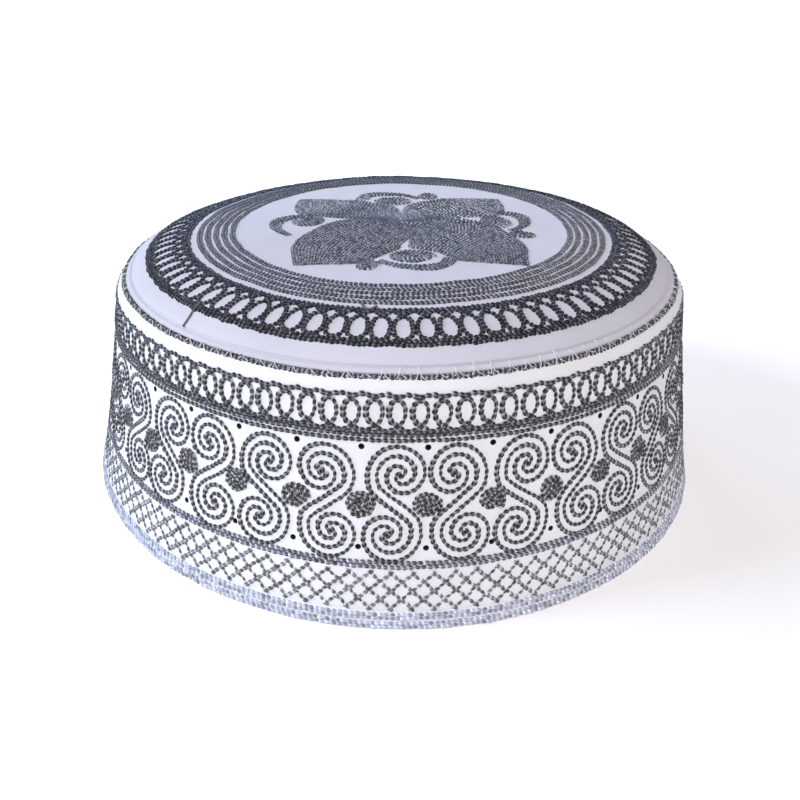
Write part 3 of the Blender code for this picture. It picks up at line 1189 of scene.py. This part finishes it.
def curlLines(curl):
    settings = crownMotif
    discX, discY = settings["discMiddle"]
    lines = []
    for row in range(settings["bandRows"]):
        share = row / (settings["bandRows"] - 1)
        points = rowBetween(settings["bandInner"], settings["bandOuter"], share, 0.0, settings["bandSteps"])
        lines.append(moved(points, curl["bandShift"], 0.0))
    lines.append(spiralDisc((discX + curl["discShift"], discY), settings["discSize"], settings["discTurns"]))
    if curl["hasBlob"]:
        lines.append(spiralDisc(settings["blobMiddle"], settings["blobSize"], settings["blobTurns"]))
    return lines


# The curl at the rear sits a little nearer the middle, as the petals beside it do
def drawnIn(x, y):
    share = min(max(y / crownMotif["rearFrom"], 0.0), 1.0)
    return x, y * (1 - crownMotif["rearShare"] * share * share * (3 - 2 * share))


def sewCrownMotif():
    settings = crownMotif
    rows = []
    for petal in settings["petals"]:
        for row in range(settings["petalRows"]):
            share = row / (settings["petalRows"] - 1)
            start = settings["rowStarts"][row % len(settings["rowStarts"])]
            rows.append(rowBetween(petal["inner"], petal["side"], share, start, settings["petalSteps"]))
    for curl in settings["curls"]:
        cos, sin = math.cos(math.radians(curl["turn"])), math.sin(math.radians(curl["turn"]))
        for row in curlLines(curl):
            rows.append([drawnIn(curl["mirror"] * (x * cos - y * sin), x * sin + y * cos) for x, y in row])
    lines = [([crownPoint(*drifted(x, y, settings["drift"]), settings["proud"]) for x, y in row], False)
             for row in rows]
    sew("crownMotifStitches", lines, settings)


# Seam: two dark rows on the shoulder with a white thread laid over them in a zigzag
seamChain = {
    "shares": (0.04, 0.145),
    "steps": 720,
    "sway": 0.02,
    "swayLength": 4.5,              # in degrees round the cap, for each radian of the sway
    "pitch": 1.15,
    "stitchSize": (0.66, 1.0, 0.80),
    "turnSpread": 0.7,
    "wander": 0.10,
    "thread": "grey",
    "seed": 73,
}
seamZigzag = {
    "count": 124,
    "firstAngle": 0.6,
    "angleRange": (-0.25, 0.25),
    "lowShare": 0.27,
    "lowRange": (-0.08, 0.05),
    "highRadius": 80.5,
    "highRange": (-0.3, 0.5),
    "tallRadius": 79.3,             # where the thread is sewn wider, from and to these angles
    "tallFrom": -4.0,
    "tallTo": 40.0,
    "climb": 0.8,                   # across, on the way up, and on the way down
    "climbRange": (0.6, 1.4),
    "fall": 1.8,
    "fallRange": (0.8, 1.2),
    "footPath": ((1.0, 0.0, -0.1), (0.85, -0.08, 0.34)),    # aside, past the low share, proud
    "edgePath": ((0.35, 0.04, 0.40),),                      # aside, share, proud
    "topPath": ((0.12, 0.1, 0.10), (0.0, -0.3, -0.1)),      # aside, past the high radius, proud
    "radius": 0.08,
    "thread": "white",
    "seed": 79,
}


def sewSeam():
    settings = seamChain
    angles = [360 * step / settings["steps"] for step in range(settings["steps"])]
    lines = []
    for share in settings["shares"]:
        ring = [onShoulder(angle, share + settings["sway"] * math.sin(angle / settings["swayLength"]))
                for angle in angles]
        lines.append((ring, True))
    sew("seamChainStitches", lines, settings)


# A leg of the zigzag runs from a foot in the shoulder up over its bend, and into the crown at the top
def zigzagLeg(angle, aside, low, high):
    parts = (onShoulder, low, "footPath"), (onShoulder, 0.0, "edgePath"), (onCrown, high, "topPath")
    return [surface(angle + aside * part, level + past, proud)
            for surface, level, name in parts for part, past, proud in seamZigzag[name]]


def laySeamZigzag():
    settings = seamZigzag
    radius = capShape["seamRadius"]
    luck = random.Random(settings["seed"])
    lines = []
    for middle in repeats(settings):
        angle = middle + luck.uniform(*settings["angleRange"])
        climb = math.degrees(settings["climb"] * luck.uniform(*settings["climbRange"]) / radius)
        fall = math.degrees(settings["fall"] * luck.uniform(*settings["fallRange"]) / radius)
        low = settings["lowShare"] + luck.uniform(*settings["lowRange"])
        tall = settings["tallFrom"] < (angle + 180) % 360 - 180 < settings["tallTo"]
        high = settings["tallRadius" if tall else "highRadius"] + luck.uniform(*settings["highRange"])
        for aside in (-climb, fall):
            lines.append((zigzagLeg(angle, aside, low, high), False))
    layThreads("seamZigzagThreads", lines, settings)


# Loose ends: a thread pulled from the crown's loops towards the seam, and a small curl
looseThreads = {
    "paths": [
        {"proud": 0.12, "points": [(-49.0, -54.0), (-49.8, -56.2), (-50.5, -58.1), (-51.6, -59.9)]},
        {"proud": 0.35, "points": [(-8.8, -59.9), (-7.9, -61.9), (-6.6, -62.3), (-5.2, -61.2)]},
    ],
    "steps": 12,
    "radius": 0.34,
    "thread": "dark",
}


def layLooseThreads():
    lines = []
    for path in looseThreads["paths"]:
        places = [onSpline(path["points"], share) for share in spaced(0.0, 1.0, looseThreads["steps"])]
        lines.append(([crownPoint(place.x, place.y, path["proud"]) for place in places], False))
    layThreads("looseThreads", lines, looseThreads)


sewScrolls()
sewDots()
sewBandLoops()
sewBandBorders()
sewLattice()
sewHemRows()
sewCrownRings()
sewCrownLoops()
sewCrownMotif()
sewSeam()
laySeamZigzag()
layLooseThreads()
bpy.data.objects.remove(stitchObject)
print("embroidery sewn")


# Floor, lights and camera, in metres
studio = {
    "floorSize": 60.0,
    "floorColour": (0.97, 0.97, 0.965),
    "skyLeft": (0.23, 0.245, 0.27),
    "skyRight": (0.095, 0.09, 0.09),
    "skyLimits": (-0.9, 0.7),
    "backdrop": (0.93, 0.93, 0.935),  # what shows past the floor
    "windows": {                     # a wide one before the cap, and a lower, bluer one to its left
        "frontWindow": {"azimuth": 2.0, "elevation": 54.0, "softness": 35.0, "power": 2.65,
                        "colour": (1.0, 0.94, 0.94)},
        "leftWindow": {"azimuth": -88.0, "elevation": 26.0, "softness": 30.0, "power": 2.5,
                       "colour": (0.64, 0.79, 1.0)},
    },
    "rearPanel": {"place": (-0.10, 0.45, 0.16), "aim": (0.0, 0.0, 0.07), "size": 0.28, "power": 1.3,
                  "colour": (0.45, 0.62, 1.0)},
}
photoView = {
    "place": (0.0, -0.23201, 0.14077),
    "pitch": 29.49,                 # below the horizon
    "yaw": -0.25,
    "roll": 1.58,
    "lens": 35.325,
    "sensor": 36.0,
    "nearest": 0.01,
}


def makeFloor():
    size = studio["floorSize"] / 2
    mesh = bpy.data.meshes.new("paleFloor")
    corners = [(-size, -size, 0.0), (size, -size, 0.0), (size, size, 0.0), (-size, size, 0.0)]
    mesh.from_pydata(corners, [], [(0, 1, 2, 3)])
    mesh.materials.append(newMaterial("paleFloorPaint", {
        "Base Color": (*studio["floorColour"], 1.0),
        "Roughness": 1.0,
        "Specular IOR Level": 0.0,
    })[0])
    newObject("paleFloor", mesh)


# The sky turns from its left colour to its right colour across the scene, behind a plain pale backdrop
def makeSky():
    world = bpy.data.worlds.new("studioSky")
    world.use_nodes = True
    tree = world.node_tree
    direction = flow(tree, "ShaderNodeTexCoord", None, "Generated")
    across = flow(tree, "ShaderNodeSeparateXYZ", {0: direction}, "X")
    share = shareBetween(tree, across, studio["skyLimits"], "SMOOTHSTEP")
    sky = mixed(tree, share, (*studio["skyLeft"], 1.0), (*studio["skyRight"], 1.0))
    seen = flow(tree, "ShaderNodeLightPath", None, "Is Camera Ray")
    feed(tree, tree.nodes["Background"], {"Color": mixed(tree, seen, sky, (*studio["backdrop"], 1.0))})
    bpy.context.scene.world = world


def addLight(name, kind, settings, place, aim):
    data = bpy.data.lights.new(name, kind)
    data.energy = settings["power"]
    data.color = settings["colour"]
    light = newObject(name, data)
    light.location = place
    light.rotation_euler = (Vector(aim) - place).to_track_quat("-Z", "Y").to_euler()
    return data


def makeLights():
    for name, window in studio["windows"].items():
        rise = math.radians(window["elevation"])
        source = around(window["azimuth"], math.cos(rise), math.sin(rise))
        addLight(name, "SUN", window, source, (0.0, 0.0, 0.0)).angle = math.radians(window["softness"])
    panel = studio["rearPanel"]
    addLight("rearPanel", "AREA", panel, Vector(panel["place"]), panel["aim"]).size = panel["size"]


def makeCamera():
    data = bpy.data.cameras.new("photoCamera")
    data.lens = photoView["lens"]
    data.sensor_width = photoView["sensor"]
    data.clip_start = photoView["nearest"]
    camera = newObject("photoCamera", data)
    turn = Matrix.Rotation(math.radians(90 - photoView["pitch"]), 4, "X")
    turn = turn @ Matrix.Rotation(math.radians(photoView["yaw"]), 4, "Y")
    turn = turn @ Matrix.Rotation(math.radians(photoView["roll"]), 4, "Z")
    camera.matrix_world = Matrix.Translation(photoView["place"]) @ turn
    bpy.context.scene.camera = camera


makeFloor()
makeSky()
makeLights()
makeCamera()
bpy.context.scene.view_settings.view_transform = "Standard"
print("studio ready")
